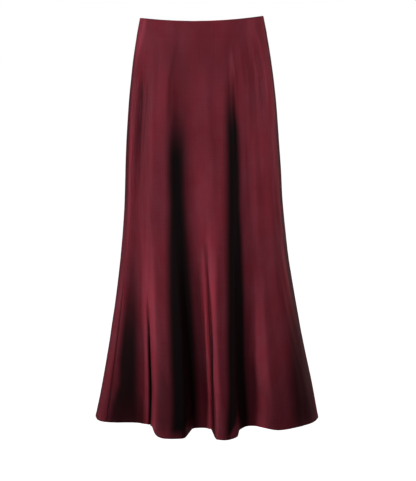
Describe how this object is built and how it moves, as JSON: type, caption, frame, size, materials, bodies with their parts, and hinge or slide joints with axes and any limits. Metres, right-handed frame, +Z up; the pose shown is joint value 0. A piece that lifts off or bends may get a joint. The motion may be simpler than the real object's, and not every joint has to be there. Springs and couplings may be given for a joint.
{
  "type": "mermaid fishtail skirt",
  "caption": "Long satin skirt, close over the hips and flared into deep flutes at the hem, with a concealed side zip.",
  "frame": {"origin": "middle of the waist, where the wearer's waist holds the skirt", "axes": "+Z up out of the waist, -Y to the front, +X to the wearer's left"},
  "size_m": [0.513, 0.3736, 0.9115],
  "materials": {
    "satin": "burgundy satin with a soft sheen, near black in the folds",
    "facing_satin": "reverse side of the same satin, duller",
    "zip_tape": "dark burgundy woven zip tape",
    "zip_metal": "enamelled dark burgundy"
  },
  "bodies": {
    "skirt": {"front_panel": "satin", "back_panel": "satin", "front_facing": "facing_satin", "back_facing": "facing_satin", "zip_tape": "zip_tape", "zip_slider": "zip_metal"},
    "pull": {"zip_pull": "zip_metal"}
  },
  "joints": [
    {"name": "pull_swing", "type": "hinge", "parent": "skirt", "child": "pull", "pos_m": [0.1326, 0.02655, -0.00683], "axis": [0.4448, -0.8936, 0.0596], "range_deg": [0, 165]}
  ]
}
